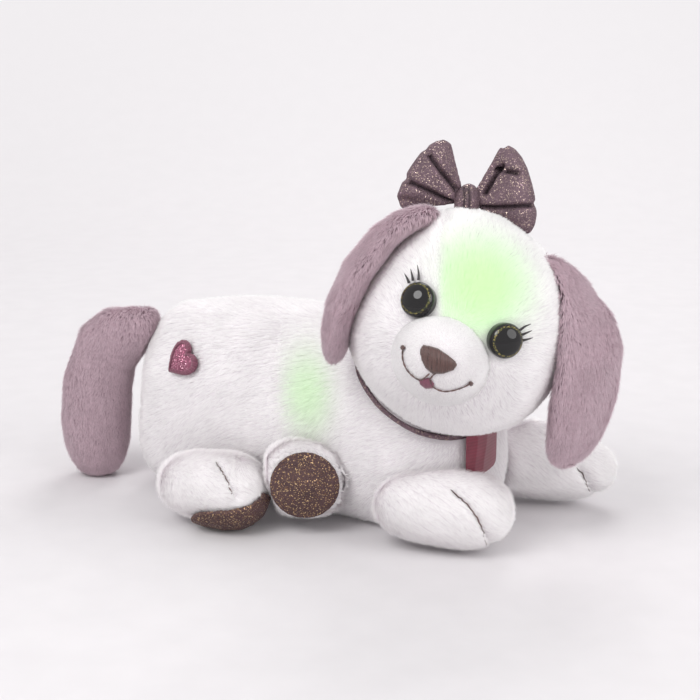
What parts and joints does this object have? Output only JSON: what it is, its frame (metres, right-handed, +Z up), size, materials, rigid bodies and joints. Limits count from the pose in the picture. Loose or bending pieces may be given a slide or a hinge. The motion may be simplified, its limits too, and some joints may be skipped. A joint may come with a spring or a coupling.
{
  "type": "light-up plush puppy",
  "caption": "Stuffed toy puppy lying down, with long ears, a hair bow, a heart to press and lamps that glow in its forehead and flank.",
  "frame": {"origin": "under the middle of the toy's box, on the floor that it lies on", "axes": "+Z up, the face and the shown sole look towards -Y, the tail is at -X and the front paws at +X"},
  "size_m": [0.3404, 0.237, 0.2207],
  "materials": {
    "cream_plush": "long white pile",
    "white_velvet": "short velvet pile",
    "taupe_plush": "long dusty pile",
    "rose_glitter_fabric": "woven with glitter",
    "brown_glitter_fabric": "woven with gold glitter",
    "brown_embroidery": "satin stitch",
    "pink_felt": "brushed",
    "red_ribbon": "woven ribbon",
    "pink_glitter_fabric": "woven with glitter",
    "black_eye_plastic": "glossy",
    "white_plastic": "moulded",
    "frosted_plastic": "frosted",
    "black_plastic": "moulded",
    "green_board": "printed board",
    "red_wire": "insulated",
    "steel": "plated",
    "cell_jacket": "lacquered"
  },
  "bodies": {
    "body": {"torso": "cream_plush", "collar": "rose_glitter_fabric", "heart_switch_housing": "black_plastic", "heart_switch_wire": "red_wire", "flank_lamp_board": "green_board", "flank_lamp_diffuser": "frosted_plastic", "flank_lamp_wire": "red_wire", "neck_wire": "red_wire", "battery_tray": "white_plastic", "battery_cell_1": "cell_jacket", "battery_cell_2": "cell_jacket", "battery_cell_3": "cell_jacket", "battery_contacts_rear": "steel", "battery_contacts_front": "steel", "circuit_board": "green_board"},
    "head": {"head": "cream_plush", "muzzle": "white_velvet", "nose": "brown_embroidery", "tongue": "pink_felt", "bow_knot": "rose_glitter_fabric", "bow_right_loop": "rose_glitter_fabric", "bow_left_loop": "rose_glitter_fabric", "forehead_lamp_board": "green_board", "forehead_lamp_diffuser": "frosted_plastic", "forehead_lamp_wire": "red_wire", "right_eye": "black_eye_plastic", "left_eye": "black_eye_plastic", "right_eye_washer": "white_plastic", "left_eye_washer": "white_plastic"},
    "right_ear": {"right_ear": "taupe_plush"},
    "left_ear": {"left_ear": "taupe_plush"},
    "tail": {"tail": "taupe_plush"},
    "right_front_leg": {"right_front_leg": "cream_plush"},
    "left_front_leg": {"left_front_leg": "cream_plush"},
    "right_hind_leg": {"right_hind_leg": "cream_plush", "right_hind_sole": "brown_glitter_fabric"},
    "left_hind_leg": {"left_hind_leg": "cream_plush", "left_hind_sole": "brown_glitter_fabric"},
    "heart": {"heart_patch": "pink_glitter_fabric", "heart_switch_plunger": "black_plastic"},
    "tag": {"collar_tag": "red_ribbon"},
    "battery_door": {"battery_door": "white_plastic", "battery_door_screw": "steel"},
    "power_switch": {"power_switch_knob": "black_plastic"}
  },
  "joints": [
    {"name": "head_turn", "type": "hinge", "parent": "body", "child": "head", "pos_m": [0.0711, -0.03846, 0.124], "axis": [0.3534, -0.5517, 0.7555], "range_deg": [-10, 10], "stiffness_Nm_per_rad": 2},
    {"name": "right_ear_lift", "type": "hinge", "parent": "head", "child": "right_ear", "pos_m": [0.05679, -0.04358, 0.18569], "axis": [0.0849, 0.9707, -0.225], "range_deg": [0, 35]},
    {"name": "left_ear_lift", "type": "hinge", "parent": "head", "child": "left_ear", "pos_m": [0.11361, -0.04663, 0.16775], "axis": [-0.0849, -0.9707, 0.225], "range_deg": [0, 35]},
    {"name": "tail_wag", "type": "hinge", "parent": "body", "child": "tail", "pos_m": [-0.10743, 0.06456, 0.09753], "axis": [0, 0, 1], "range_deg": [-15, 15], "stiffness_Nm_per_rad": 0.4},
    {"name": "right_front_leg_swing", "type": "hinge", "parent": "body", "child": "right_front_leg", "pos_m": [0.04562, -0.05549, 0.0255], "axis": [0, 0, -1], "range_deg": [0, 12], "stiffness_Nm_per_rad": 0.5},
    {"name": "left_front_leg_swing", "type": "hinge", "parent": "body", "child": "left_front_leg", "pos_m": [0.0812, 0.02526, 0.024], "axis": [0, 0, 1], "range_deg": [0, 12], "stiffness_Nm_per_rad": 0.5},
    {"name": "right_hind_leg_swing", "type": "hinge", "parent": "body", "child": "right_hind_leg", "pos_m": [-0.0777, -0.01371, 0.024], "axis": [0, 0, -1], "range_deg": [0, 12], "stiffness_Nm_per_rad": 0.5},
    {"name": "left_hind_leg_twist", "type": "hinge", "parent": "body", "child": "left_hind_leg", "pos_m": [-0.0133, 0.02114, 0.032], "axis": [0, -1, 0], "range_deg": [-6, 6], "stiffness_Nm_per_rad": 0.5},
    {"name": "heart_press", "type": "slide", "parent": "body", "child": "heart", "axis": [0.5281, 0.7787, -0.3388], "range_m": [0, 0.0015], "stiffness_N_per_m": 300},
    {"name": "tag_lift", "type": "hinge", "parent": "body", "child": "tag", "pos_m": [0.08437, -0.03045, 0.06593], "axis": [-1, 0, 0], "range_deg": [0, 3]},
    {"name": "battery_door_slide", "type": "slide", "parent": "body", "child": "battery_door", "axis": [0, 0, -1], "range_m": [0, 0.025]},
    {"name": "power_switch", "type": "slide", "parent": "body", "child": "power_switch", "axis": [0.4695, 0.8829, 0], "range_m": [0, 0.003]}
  ]
}
